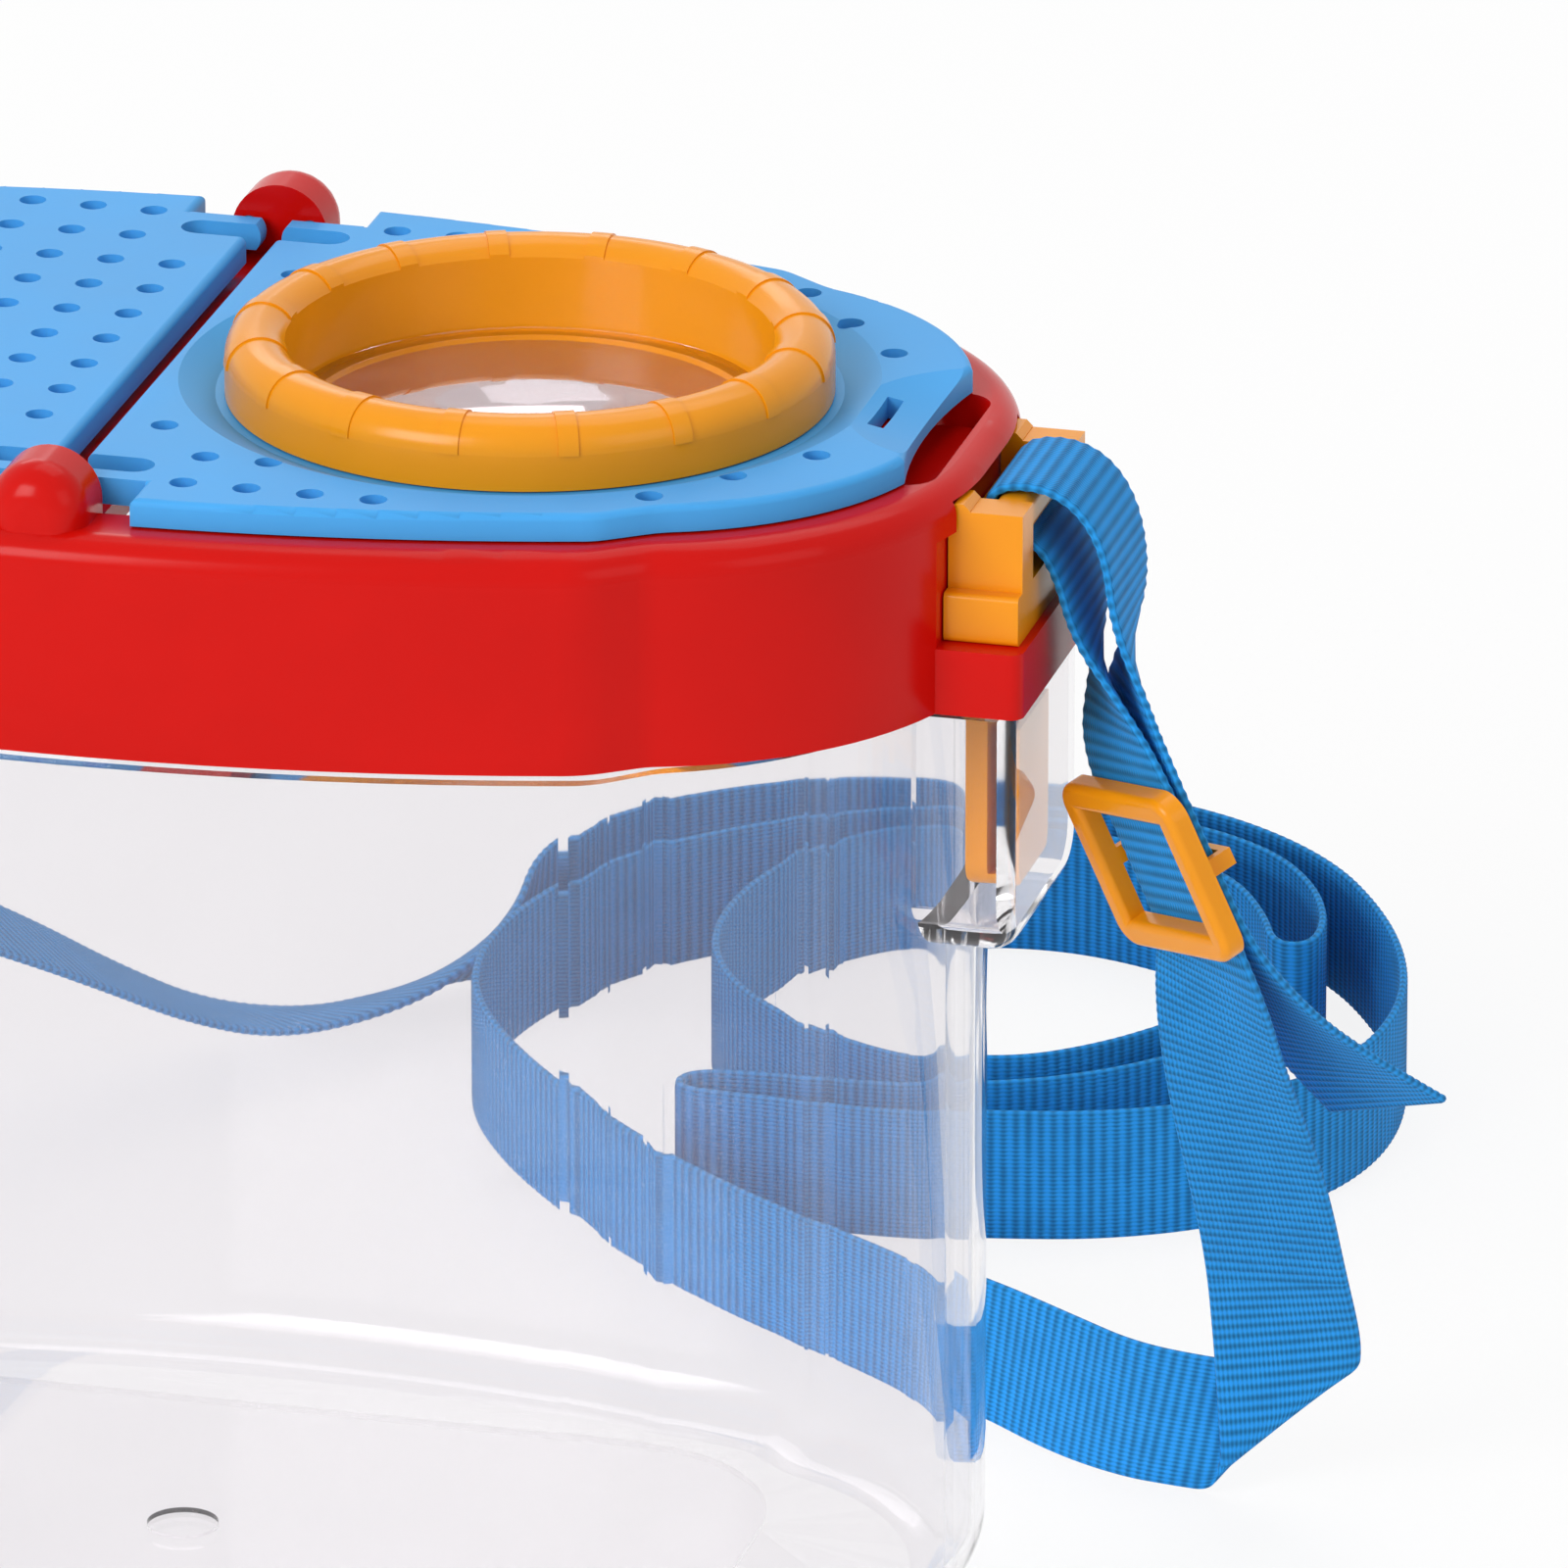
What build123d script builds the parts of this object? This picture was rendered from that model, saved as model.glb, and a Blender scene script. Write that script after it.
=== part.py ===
"""Bug catcher jar: a clear jar under a red lid frame with two perforated doors, a magnifier and a strap.

Sizes in millimetres. X runs along the length, Y to the back and Z up from the table.
"""
import os
from math import asin, atan2, cos, radians, sin, sqrt, tan

from build123d import *

# Plan outline that the jar, the lid frame and the doors share
half_depth = 54.0
bow_radius = 223.0
step_middle = 62.0
step_run = 6.0
step_outer_fillet = 12.0
step_inner_fillet = 6.0
end_reach = 93.0
end_radius = 38.0
end_flat = 5.0

# Levels
door_top = 141.0
door_thick = 3.0
door_seat_gap = 0.2
frame_height = 24.4
rim_thick = 5.0

# Jar
jar_inset = 0.5
jar_end_inset = 3.0
jar_wall = 2.0
jar_floor = 2.2
foot_radius = 8.0
shelf_thick = 2.0
neck_height = 18.0
foot_inset = 17.0
foot_corner = 20.0
foot_recess = 0.8
gate_radius = 4.0
gate_depth = 0.6
neck_clearance = 0.3

# Pods on the jar ends
pod_half = 16.0
pod_setback = 1.8
pod_drop = 29.3
pod_corner = 6.0
pod_fillet = 3.0
pod_depth = 10.0

# Lid frame
skirt_wall = 2.0
end_wall_setback = 2.4
rim_round = 3.2
mouth_inset = 9.0
mouth_margin = 15.0
bar_half = 5.0
bar_top_below_rim = 1.4
bar_thick = 3.0
block_half = 18.5
block_length = 9.4
block_height = 7.4
block_top_thick = 2.0
block_wall = 2.0
block_edge_fillet = 1.5
recess_margin = 4.0
recess_length = 8.5
recess_half = 15.0
recess_depth = 3.2
recess_fillet = 3.5
recess_slope = 28.0

# Half-domes that hold the hinge pins
dome_half = 5.5
dome_setback = 1.8
dome_depth = 8.6
dome_axis_above_rim = 1.3
dome_fillet = 4.0

# Door hinges
hinge_offset = 3.5
pin_radius = 1.2
pin_clearance = 0.08
pin_reach = 3.2
pin_end_gap = 0.4
hinge_gap_half = 1.6

# Doors
door_inset = 5.2
door_margin = 6.8
door_edge_fillet = 0.8
scoop_depth = 1.4
scoop_radius = 80.0
dish_radius = 60.0
dish_depth = 2.0
dish_offset = 5.8
tongue_gap = 1.0
tongue_width = 2.4
tongue_end = 1.2
slit_width = 4.4
slit_end = 9.6
notch_reach = 10.0
notch_gap = 0.6
hole_radius = 1.5
hole_pitch_x = 7.0
hole_pitch_y = 8.4
hole_columns = 11
hole_rows = 5
hole_edge_margin = 3.2
slot_setback = 5.9
slot_width = 1.8
slot_length = 9.0

# Magnifier
ring_middle = 40.7
ring_outer = 33.0
tube_radius = 3.5
tube_inner_angle = 60.0
ring_rise = 6.0
funnel_foot_radius = 26.4
ring_bottom_above_door = -1.4
well_outer = 38.0
well_inner = 34.0
well_depth = 1.6
boss_outer = 38.0
boss_thick = 2.0
boss_clear_of_hinge = 7.5
spigot_outer = 29.6
spigot_clearance = 0.1
spigot_below_boss = 1.8
lug_count = 3
lug_reach = 1.8
lug_angle = 24.0
lug_gap = 0.2
lug_notch_turn = 60.0
lug_notch_margin = 4.0
lens_radius = 26.0
lens_seat_radius = 24.6
lens_edge = 2.0
lens_bulge = 1.8
lens_under_bulge = 0.8
lens_ledge = 1.2
lens_edge_gap = 0.2
rib_count = 16
rib_width = 2.2
rib_height = 0.2
hole_ring_margin = 2.0

# Strap clips
clip_gap = 0.2
clip_setback = 1.0
flange_half = 16.0
flange_height = 5.5
cheek_outer = 14.0
cheek_inner = 9.3
clip_height = 14.2
hump_length = 2.4
hump_height = 0.8
hump_chamfer = 0.7
clip_bar_setback = 0.4
clip_bar_size = 4.0
clip_bar_fillet = 1.2
back_plate = 1.6
leg_offset = 0.2
leg_thick = 2.2
leg_half = 6.5
leg_drop = 32.0
leg_clearance = 0.25
leg_corner = 3.2
prong_gap = 0.8
prong_thick = 1.8
prong_height = 19.0
prong_link = 2.0
prong_fillet = 1.4
clip_notch_margin = 0.4
clip_fillet = 0.6

# Strap
strap_width = 16.0
strap_thick = 1.0
strap_lift = 0.4
strap_gap = 0.3
strap_bar_gap = 0.55
strap_top_gap = 0.4
strap_layers = 2
arc_share = 0.45

# Slider
slider_length = 20.4
slider_bar = 3.2
slider_side = 2.8
slider_front = 2.6
slider_centre_bar = 2.0
slider_post = 1.0
slider_back = 0.9
slider_fillet = 0.9
slider_corner = 3.0
slider_side_gap = 0.4
slider_lead = 3.0

# Strap route beside the right clip, as (outwards from the clip bar, up from its top)
loop_inner_run = ((6.6, -16.0), (4.4, -8.2), (1.8, -4.9))
loop_outer_run = ((4.6, 1.1), (9.6, -4.3), (11.0, -14.5))
slider_place = (16.1, -2.2, -41.9)
slider_run = (0.376, 0.101, -0.921)
slider_turn = 50.0

# Strap route beside the left clip, in the same measures
stitched_outer_run = ((7.0, -25.0), (7.6, -10.0), (4.8, 0.9))
stitched_inner_run = ((2.0, -4.9), (5.3, -10.2), (5.6, -23.0))

# Hanging run and free tail: (outwards, back, up) from the clip bar's top, and turn of the width
hanging_route = (
    ((19.6, 3.0, -57.8), 56.0),
    ((19.1, 9.0, -67.0), 67.0),
    ((19.2, 17.0, -78.2), 82.0),
    ((19.7, 25.0, -90.5), 90.0),
    ((19.8, 33.0, -103.1), 92.0),
    ((19.9, 40.2, -113.0), 91.0),
)
tail_route = (
    ((22.9, 6.5, -59.0), 57.0),
    ((26.9, 15.5, -68.5), 64.0),
    ((33.5, 29.1, -81.1), 68.0),
)
fold_out = 20.0
fold_back = 44.5

# Loops that stand on the table behind the jar, (right of the middle, back from the middle)
front_run = (
    (99.0, 46.4),
    (89.0, 51.0),
    (77.0, 58.0),
    (55.0, 70.0),
    (42.0, 78.5),
    (30.0, 88.5),
    (16.0, 102.5),
    (4.5, 117.0),
    (-2.5, 130.0),
    (-5.0, 143.0),
    (-4.0, 156.5),
    (0.0, 169.5),
    (7.5, 181.5),
    (18.5, 192.0),
    (33.0, 200.0),
    (49.5, 205.0),
)
middle_run = (
    (66.0, 203.5),
    (78.0, 197.0),
    (85.5, 187.0),
    (89.5, 176.0),
    (89.5, 168.0),
    (85.0, 167.5),
    (82.0, 176.0),
    (76.0, 186.5),
    (66.0, 194.0),
    (52.0, 198.0),
    (38.5, 195.5),
    (28.0, 187.5),
    (22.0, 176.0),
    (20.0, 163.0),
    (21.5, 150.0),
    (28.0, 138.0),
    (39.0, 128.5),
    (52.0, 123.0),
    (64.0, 123.5),
)
back_run = (
    (73.0, 130.5),
    (80.0, 140.0),
    (85.5, 149.0),
    (89.5, 151.0),
    (91.5, 146.0),
    (87.5, 137.5),
    (81.5, 128.5),
    (73.0, 120.5),
    (62.0, 115.0),
    (49.5, 113.0),
    (37.0, 112.5),
    (29.0, 111.5),
    (28.5, 106.0),
    (37.0, 105.5),
    (52.0, 105.0),
    (66.0, 107.0),
    (78.5, 110.0),
    (90.0, 116.5),
    (99.0, 126.5),
    (103.5, 139.0),
    (104.0, 153.0),
    (101.0, 167.0),
    (95.0, 181.0),
    (86.0, 195.0),
    (73.0, 205.5),
)
left_run = (
    (58.0, 211.0),
    (40.5, 212.0),
    (23.5, 208.5),
    (8.5, 200.0),
    (-2.0, 188.0),
    (-7.0, 175.5),
)

# Run that climbs from the table to the left clip: (right, back, up) and the width's direction
climbing_route = (
    ((-10.5, 165.5, 7.2), (0.60, -0.32, 0.72)),
    ((-16.0, 155.5, 5.2), (0.76, -0.50, 0.42)),
    ((-23.5, 146.5, 4.4), (0.77, -0.58, 0.27)),
    ((-33.0, 136.5, 6.6), (0.80, -0.59, 0.02)),
    ((-40.5, 124.5, 14.0), (0.80, -0.55, -0.18)),
    ((-46.5, 111.5, 23.0), (0.77, -0.58, -0.25)),
    ((-53.0, 98.5, 31.5), (0.74, -0.61, -0.28)),
    ((-68.0, 73.0, 47.0), (0.73, -0.62, -0.28)),
    ((-86.0, 50.0, 64.5), (0.72, -0.64, -0.25)),
    ((-99.5, 30.0, 79.5), (0.62, -0.75, -0.20)),
    ((-105.0, 13.5, 93.5), (0.30, -0.94, -0.10)),
)

# Derived levels and places
tiny = 1e-4
rim_top = door_top - door_thick - door_seat_gap
frame_bottom = rim_top - frame_height
rim_bottom = rim_top - rim_thick
shelf_top = frame_bottom
block_top = frame_bottom + block_height
jar_end = end_reach - jar_end_inset
end_wall = end_reach - end_wall_setback
neck_inset = skirt_wall + neck_clearance
neck_end = end_wall - skirt_wall - neck_clearance
mouth_end = end_reach - mouth_margin
recess_outer = end_reach - recess_margin
recess_inner = recess_outer - recess_length
block_reach = end_wall + block_length
pod_reach = block_reach - pod_setback
pod_root = jar_end - pod_depth
dome_back = half_depth - dome_setback
dome_face = dome_back - dome_depth
tongue_outer = dome_face - tongue_gap
tongue_inner = tongue_outer - tongue_width
notch_inner = dome_face - notch_gap
door_end = end_reach - door_margin
slot_middle = door_end - slot_setback
dish_centre = door_end + dish_offset
pivot_height = door_top - door_thick / 2
door_bottom = door_top - door_thick
boss_bottom = door_bottom - boss_thick
spigot_low = boss_bottom - spigot_below_boss
lens_low = spigot_low + lens_ledge
clip_top = block_top + clip_height
clip_inner = end_wall + clip_gap
clip_outer = block_reach - clip_setback
clip_bar_outer = clip_outer - clip_bar_setback
clip_bar_inner = clip_bar_outer - clip_bar_size
leg_inner = clip_inner + leg_offset
leg_outer = leg_inner + leg_thick
prong_inner = leg_outer + prong_gap
prong_outer = prong_inner + prong_thick


def outline(inset, end_x=end_reach):
    """Plan face of the shared outline with its ends at end_x, moved in by inset."""
    bow = bow_radius - inset
    bow_middle = half_depth - bow_radius
    end = end_radius - inset
    end_middle = end_x - end_radius
    bow_x = step_middle - step_run / 2
    bow_y = bow_middle + sqrt(bow**2 - bow_x**2)
    arc_x = step_middle + step_run / 2
    arc_y = end_flat + sqrt(end**2 - (arc_x - end_middle) ** 2)
    half_turn = atan2(arc_y - end_flat, arc_x - end_middle) / 2
    mid_x = end_middle + end * cos(half_turn)
    mid_y = end_flat + end * sin(half_turn)
    far = end_x - inset
    edges = []
    for side in (1, -1):
        edges.append(
            ThreePointArc((-bow_x, side * bow_y), (0, side * (half_depth - inset)), (bow_x, side * bow_y))
        )
        edges.append(Line((side * far, end_flat), (side * far, -end_flat)))
        for way in (1, -1):
            edges.append(Line((way * bow_x, side * bow_y), (way * arc_x, side * arc_y)))
            edges.append(
                ThreePointArc(
                    (way * arc_x, side * arc_y), (way * mid_x, side * mid_y), (way * far, side * end_flat)
                )
            )
    face = make_face(edges)
    face = fillet([v for v in face.vertices() if abs(abs(v.X) - bow_x) < tiny], step_outer_fillet - inset)
    return fillet([v for v in face.vertices() if abs(abs(v.X) - arc_x) < tiny], step_inner_fillet + inset)


def slab(face, low, high):
    """The plan face raised from low to high."""
    return extrude(Pos(0, 0, low) * face, high - low)


def block(x_low, x_high, y_low, y_high, z_low, z_high):
    """A box between the given limits."""
    return Pos(x_low, y_low, z_low) * Box(
        x_high - x_low, y_high - y_low, z_high - z_low, align=(Align.MIN, Align.MIN, Align.MIN)
    )


def ended(face, reach):
    """The plan face cut off square at both ends."""
    return face & Rectangle(2 * reach, 4 * half_depth)


def both_ends(solid):
    """The solid of the right end with its mirror image at the left."""
    return solid + mirror(solid, about=Plane.YZ)


def pod_shape(inset):
    """Right-hand pod moved in by inset: a tab with a rounded bottom standing out of the end wall."""
    half = pod_half - inset
    profile = Pos(0, shelf_top) * Rectangle(2 * half, pod_drop - inset, align=(Align.CENTER, Align.MAX))
    profile = fillet(profile.vertices().group_by(Axis.Y)[0], pod_corner - inset)
    return extrude(Plane.YZ.offset(pod_root) * profile, pod_reach - inset - pod_root)


def leg_slot(low, high):
    """Room for the clip leg through the shelf and the end block."""
    gap = leg_clearance
    return block(leg_inner - gap, prong_outer + gap, -leg_half - gap, leg_half + gap, low, high)


def make_jar():
    body = slab(outline(jar_inset, jar_end), 0, shelf_top)
    body = fillet(body.faces().sort_by(Axis.Z)[0].edges(), foot_radius)
    hollow = slab(outline(jar_inset + jar_wall, jar_end), jar_floor, shelf_top - shelf_thick)
    hollow = fillet(hollow.faces().sort_by(Axis.Z)[0].edges(), foot_radius - jar_wall)
    pod = pod_shape(0)
    pod_edges = pod.faces().sort_by(Axis.X)[-1].edges().filter_by(lambda e: e.center().Z < shelf_top - tiny)
    pod = fillet(pod_edges, pod_fillet)
    pod_hollow = pod_shape(jar_wall)
    pod_hollow &= block(0, pod_reach, -pod_half, pod_half, 0, shelf_top - shelf_thick)
    neck = slab(ended(outline(neck_inset, jar_end), neck_end), shelf_top, shelf_top + neck_height)
    throat = slab(
        ended(outline(neck_inset + jar_wall, jar_end), neck_end - jar_wall),
        shelf_top - shelf_thick - tiny,
        shelf_top + neck_height,
    )
    jar = body + both_ends(pod) + neck - hollow - both_ends(pod_hollow) - throat
    jar -= both_ends(leg_slot(shelf_top - shelf_thick - tiny, shelf_top + tiny))
    jar -= slab(RectangleRounded(2 * step_middle, 2 * (half_depth - foot_inset), foot_corner), 0, foot_recess)
    jar -= Pos(0, 0, jar_floor) * Cylinder(gate_radius, 2 * gate_depth)
    return jar


def half_dome():
    """Front half-dome with its flat face turned to the middle."""
    axis_height = rim_top + dome_axis_above_rim
    profile = Pos(0, axis_height) * Circle(dome_half)
    profile += Pos(0, rim_bottom) * Rectangle(
        2 * dome_half, axis_height - rim_bottom, align=(Align.CENTER, Align.MIN)
    )
    dome = extrude(Plane.XZ.offset(dome_face) * profile, dome_back - dome_face)
    outer = dome.faces().sort_by(Axis.Y)[0].edges().filter_by(lambda e: e.center().Z > rim_bottom + tiny)
    dome = fillet(outer, dome_fillet)
    hole = Cylinder(
        pin_radius + pin_clearance, pin_reach + pin_end_gap, align=(Align.CENTER, Align.CENTER, Align.MIN)
    )
    for side in (1, -1):
        dome -= Pos(side * hinge_offset, -dome_face, pivot_height) * Rot(90, 0, 0) * hole
    return dome


def make_frame():
    skirt = slab(ended(outline(0), end_wall), frame_bottom, rim_bottom)
    inside = slab(ended(outline(skirt_wall), end_wall - skirt_wall), frame_bottom, rim_bottom)
    rim = slab(outline(0), rim_bottom, rim_top)
    rim = fillet(rim.faces().sort_by(Axis.Z)[-1].edges(), rim_round)
    middle = (bar_half + mouth_end) / 2
    mouth_face = outline(mouth_inset) & (Pos(middle, 0) * Rectangle(mouth_end - bar_half, 4 * half_depth))
    mouth = slab(mouth_face, rim_bottom, rim_top)
    frame = skirt - inside + rim - both_ends(mouth)
    bar_top = rim_top - bar_top_below_rim
    frame -= block(-bar_half, bar_half, -dome_face, dome_face, bar_top, rim_top)
    frame -= block(-bar_half, bar_half, -dome_face, dome_face, rim_bottom, bar_top - bar_thick)

    recess_middle = (recess_inner + recess_outer) / 2
    recess_face = Pos(recess_middle, 0, rim_top) * RectangleRounded(
        recess_length, 2 * recess_half, recess_fillet
    )
    frame -= both_ends(extrude(recess_face, recess_depth, dir=(0, 0, -1), taper=recess_slope))

    shelf = block(end_wall - skirt_wall, block_reach, -block_half, block_half, frame_bottom, block_top)
    shelf = fillet(shelf.edges().filter_by(Axis.Z).group_by(Axis.X)[-1], block_edge_fillet)
    shelf -= block(
        end_wall,
        block_reach - block_wall,
        -block_half + block_wall,
        block_half - block_wall,
        frame_bottom,
        block_top - block_top_thick,
    )
    shelf -= leg_slot(frame_bottom, block_top)
    frame += both_ends(shelf)
    gap = clip_notch_margin
    notch_top = clip_top + hump_height + gap
    notch = block(end_wall, end_reach, -cheek_outer - gap, cheek_outer + gap, rim_bottom, notch_top)
    frame -= both_ends(notch)

    dome = half_dome()
    frame += dome + mirror(dome, about=Plane.XZ)
    return frame


def hinge_tongue():
    """Front tongue of the right door with its pin."""
    reach = hinge_offset - tongue_end
    tongue = Pos(hinge_offset, -tongue_outer, pivot_height) * Rot(-90, 0, 0) * Cylinder(
        reach, tongue_outer - tongue_inner, align=(Align.CENTER, Align.CENTER, Align.MIN)
    )
    tongue &= block(0, notch_reach, -tongue_outer, -tongue_inner, door_bottom, door_top)
    tongue += block(hinge_offset, notch_reach, -tongue_outer, -tongue_inner, door_bottom, door_top)
    pin_length = dome_face + pin_reach - tongue_outer
    pin = Pos(hinge_offset, -tongue_outer, pivot_height) * Rot(90, 0, 0) * Cylinder(
        pin_radius, pin_length, align=(Align.CENTER, Align.CENTER, Align.MIN)
    )
    return tongue + pin


def door_hole_places(keep_clear):
    """Grid places of the air holes on the right door that lie inside its edge and pass keep_clear."""
    field = outline(door_inset + hole_edge_margin)
    places = []
    for column in range(1, hole_columns + 1):
        for row in range(-hole_rows, hole_rows + 1):
            x, y = column * hole_pitch_x, row * hole_pitch_y
            by_hinge = x < slit_end + hole_radius and abs(y) > tongue_inner - slit_width - 2 * hole_radius
            by_slot = abs(x - slot_middle) < hole_pitch_x and abs(y) < slot_length
            inside = x < door_end - 2 * hole_edge_margin and field.face().is_inside(Vector(x, y, 0))
            if inside and not by_hinge and not by_slot and keep_clear(x, y):
                places.append((x, y))
    return places


def make_door(keep_clear):
    """Right-hand door without the magnifier's well."""
    door = slab(outline(door_inset), door_bottom, door_top)
    door &= block(hinge_gap_half, door_end, -2 * half_depth, 2 * half_depth, 0, 2 * door_top)
    scoop_middle = door_end - scoop_depth + scoop_radius
    door -= Pos(scoop_middle, 0, door_top) * Cylinder(scoop_radius, 4 * door_thick)
    for side in (1, -1):
        door -= block(0, notch_reach, *sorted((side * notch_inner, side * 2 * half_depth)), 0, 2 * door_top)
    door = fillet(door.faces().sort_by(Axis.Z)[-1].edges(), door_edge_fillet)
    door -= Pos(dish_centre, 0, door_top + dish_radius - dish_depth) * Sphere(dish_radius)
    slot = Pos(slot_middle, 0, door_top) * Box(slot_width, slot_length, 4 * door_thick)
    door -= slot
    slit_middle = tongue_inner - slit_width / 2
    slit_run = slit_end - slit_width / 2
    for side in (1, -1):
        door -= Pos(slit_run, -side * slit_middle, door_top) * Cylinder(slit_width / 2, 4 * door_thick)
        door -= Pos(slit_run / 2, -side * slit_middle, door_top) * Box(slit_run, slit_width, 4 * door_thick)
        door -= block(0, hinge_offset, *sorted((-side * tongue_inner, -side * notch_inner)), 0, 2 * door_top)
        door -= block(0, notch_reach, *sorted((-side * tongue_outer, -side * notch_inner)), 0, 2 * door_top)
    tongue = hinge_tongue()
    door += tongue + mirror(tongue, about=Plane.XZ)
    hole = Cylinder(hole_radius, 4 * door_thick)
    return door - [Pos(x, y, door_top) * hole for x, y in door_hole_places(keep_clear)]


def lugs(inner, outer, low, high, angle, turn):
    """Even sectors of a ring about the magnifier's axis."""
    sector = slab(Circle(outer) - Circle(inner), low, high)
    wedge = make_face(
        Polyline(
            (0, 0),
            (2 * outer * cos(radians(angle / 2)), -2 * outer * sin(radians(angle / 2))),
            (2 * outer * cos(radians(angle / 2)), 2 * outer * sin(radians(angle / 2))),
            close=True,
        )
    )
    sector &= slab(wedge, low, high)
    return [Pos(ring_middle, 0, 0) * Rot(0, 0, turn + k * 360 / lug_count) * sector for k in range(lug_count)]


def make_right_door():
    clear_radius = well_outer + hole_ring_margin - hole_radius
    door = make_door(lambda x, y: sqrt((x - ring_middle) ** 2 + y**2) > clear_radius)
    boss = slab(Pos(ring_middle, 0) * Circle(boss_outer), boss_bottom, door_bottom)
    boss &= block(boss_clear_of_hinge, 2 * ring_middle, -half_depth, half_depth, 0, door_top)
    boss &= slab(outline(mouth_inset + 2 * door_seat_gap), 0, door_top)
    boss &= block(0, mouth_end - 2 * door_seat_gap, -half_depth, half_depth, 0, door_top)
    door += boss
    well = Pos(ring_middle, 0, door_top - well_depth) * Cone(
        well_inner, well_outer, well_depth, align=(Align.CENTER, Align.CENTER, Align.MIN)
    )
    door -= well
    bore = spigot_outer + spigot_clearance
    door -= slab(Pos(ring_middle, 0) * Circle(bore), 0, door_top)
    notch = lugs(
        bore - lug_reach,
        spigot_outer + lug_reach + lug_gap,
        boss_bottom,
        door_top,
        lug_angle + 2 * lug_notch_margin,
        lug_notch_turn,
    )
    return door - notch


def make_ring():
    """Magnifier ring: round-topped rim, funnel, spigot, lens seat, bayonet lugs and grip ribs."""
    crest = door_top + ring_rise
    tube_middle = ring_outer - tube_radius
    tube_height = crest - tube_radius
    low = door_top + ring_bottom_above_door
    lens_high = lens_low + lens_edge
    rim_start = (ring_outer, tube_height)
    rim_top_point = (tube_middle, crest)
    inner_turn = radians(tube_inner_angle)
    rim_inside = (tube_middle - tube_radius * sin(inner_turn), tube_height + tube_radius * cos(inner_turn))
    profile = Plane.XZ * make_face(
        [
            Line((spigot_outer, spigot_low), (spigot_outer, low)),
            Line((spigot_outer, low), (ring_outer, low)),
            Line((ring_outer, low), rim_start),
            ThreePointArc(rim_start, rim_top_point, rim_inside),
            Line(rim_inside, (funnel_foot_radius, lens_high)),
            Line((funnel_foot_radius, lens_high), (funnel_foot_radius, lens_low)),
            Line((funnel_foot_radius, lens_low), (lens_seat_radius, lens_low)),
            Line((lens_seat_radius, lens_low), (lens_seat_radius, spigot_low)),
            Line((lens_seat_radius, spigot_low), (spigot_outer, spigot_low)),
        ]
    )
    ring = revolve(profile, Axis.Z)
    grip = revolve(Plane.XZ * (Pos(tube_middle, tube_height) * Circle(tube_radius + rib_height)), Axis.Z)
    grip &= slab(Circle(2 * ring_outer) - Circle(rim_inside[0]), tube_height, 2 * crest)
    ribs = []
    for k in range(rib_count):
        bar = Pos(tube_middle, 0, tube_height) * Box(4 * tube_radius, rib_width, 4 * tube_radius)
        ribs.append(grip & (Rot(0, 0, k * 360 / rib_count) * bar))
    ring = ring + ribs
    ring = Pos(ring_middle, 0, 0) * ring
    return ring + lugs(
        spigot_outer - lug_reach, spigot_outer + lug_reach, spigot_low, boss_bottom - lug_gap, lug_angle, 0
    )


def cap_arc(radius, base, bulge):
    """Arc from the rim of a spherical cap to its top on the axis; bulge is negative for a cap below."""
    sphere = (radius**2 + bulge**2) / (2 * abs(bulge))
    half_angle = asin(radius / sphere) / 2
    middle = sphere * cos(half_angle) - (sphere - abs(bulge))
    way = 1 if bulge > 0 else -1
    return ThreePointArc((radius, base), (sphere * sin(half_angle), base + way * middle), (0, base + bulge))


def make_lens():
    """Double-convex lens resting on the seat in the ring."""
    low = lens_low
    high = lens_low + lens_edge
    under_radius = lens_seat_radius - lens_edge_gap
    profile = Plane.XZ * make_face(
        [
            Line((0, low - lens_under_bulge), (0, high + lens_bulge)),
            cap_arc(lens_radius, high, lens_bulge),
            Line((lens_radius, high), (lens_radius, low)),
            Line((lens_radius, low), (under_radius, low)),
            cap_arc(under_radius, low, -lens_under_bulge),
        ]
    )
    return Pos(ring_middle, 0, 0) * revolve(profile, Axis.Z)


def make_clip():
    """Right-hand strap clip standing on the end block."""
    flange = block(clip_inner, clip_outer, -flange_half, flange_half, block_top, block_top + flange_height)
    flange = fillet(flange.edges().filter_by(Axis.X), clip_fillet)
    clip = flange
    for side in (1, -1):
        low, high = sorted((side * cheek_inner, side * cheek_outer))
        cheek = block(clip_inner, clip_outer, low, high, block_top + flange_height / 2, clip_top)
        hump_end = clip_inner + hump_length
        hump = block(clip_inner, hump_end, low, high, clip_top - hump_height, clip_top + hump_height)
        hump = chamfer(hump.edges().filter_by(Axis.Y).group_by(Axis.Z)[-1], hump_chamfer)
        clip += cheek + hump
    bar = block(
        clip_bar_inner, clip_bar_outer, -cheek_inner, cheek_inner, clip_top - clip_bar_size, clip_top
    )
    bar = fillet(bar.edges().filter_by(Axis.Y), clip_bar_fillet)
    clip += bar
    clip += block(
        clip_inner, clip_inner + back_plate, -cheek_inner, cheek_inner, block_top + flange_height / 2,
        clip_top - clip_bar_size,
    )
    leg_low = block_top - leg_drop
    leg = block(leg_inner, leg_outer, -leg_half, leg_half, leg_low, block_top)
    leg += block(prong_inner, prong_outer, -leg_half, leg_half, leg_low, leg_low + prong_height)
    leg += block(leg_inner, prong_outer, -leg_half, leg_half, leg_low, leg_low + prong_link)
    leg = fillet(leg.edges().filter_by(Axis.Y).group_by(Axis.Z)[0], prong_fillet)
    corners = fillet(Rectangle(2 * leg_half, leg_drop).vertices().group_by(Axis.Y)[0], leg_corner)
    corners = Pos(0, block_top - leg_drop / 2) * corners
    return clip + (leg & extrude(Plane.YZ * corners, 2 * end_reach))


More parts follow.
